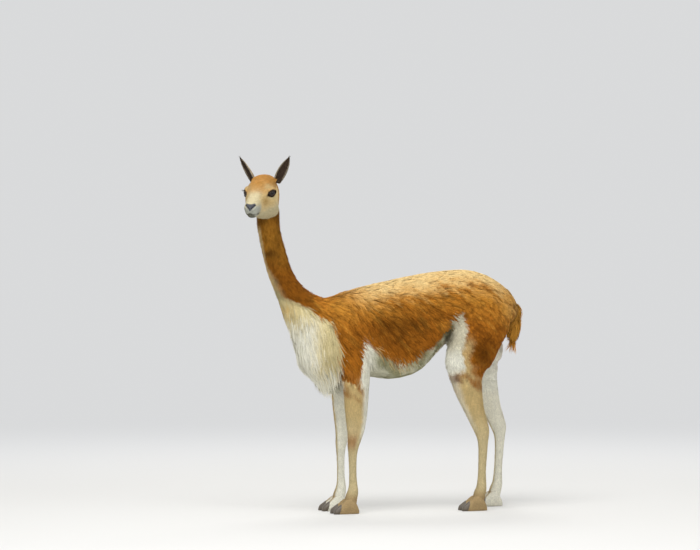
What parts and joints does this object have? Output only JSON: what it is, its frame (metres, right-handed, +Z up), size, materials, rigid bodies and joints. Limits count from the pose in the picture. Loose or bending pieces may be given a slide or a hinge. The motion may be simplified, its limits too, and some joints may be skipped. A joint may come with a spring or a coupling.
{
  "type": "vicuna figure",
  "caption": "Life-size standing vicuna in its long coat, head turned to its left, with a long hanging bib on the chest, slim legs and two-toed feet.",
  "frame": {"origin": "middle of the whole box on the ground under the feet", "axes": "+Z up; the animal faces -X; its own left side is towards -Y"},
  "size_m": [1.1664, 0.3264, 1.3622],
  "materials": {
    "coat": "dense cinnamon wool",
    "bib": "long cream hair",
    "face": "short tan and cream fur",
    "leg": "short tan fur",
    "ear": "short grey-brown fur",
    "eye": "wet, very dark brown",
    "nail": "dull dark horn"
  },
  "bodies": {
    "root": {"chest": "bib", "ear_left": "ear", "ear_right": "ear", "eye_left": "eye", "eye_right": "eye", "foreleg_left": "leg", "foreleg_right": "leg", "head": "face", "hindleg_left": "leg", "hindleg_right": "leg", "nail_fore_left_inner": "nail", "nail_fore_left_outer": "nail", "nail_fore_right_inner": "nail", "nail_fore_right_outer": "nail", "nail_hind_left_inner": "nail", "nail_hind_left_outer": "nail", "nail_hind_right_inner": "nail", "nail_hind_right_outer": "nail", "neck": "coat", "tail": "coat", "toe_fore_left_inner": "leg", "toe_fore_left_outer": "leg", "toe_fore_right_inner": "leg", "toe_fore_right_outer": "leg", "toe_hind_left_inner": "leg", "toe_hind_left_outer": "leg", "toe_hind_right_inner": "leg", "toe_hind_right_outer": "leg", "torso": "coat"}
  },
  "joints": []
}
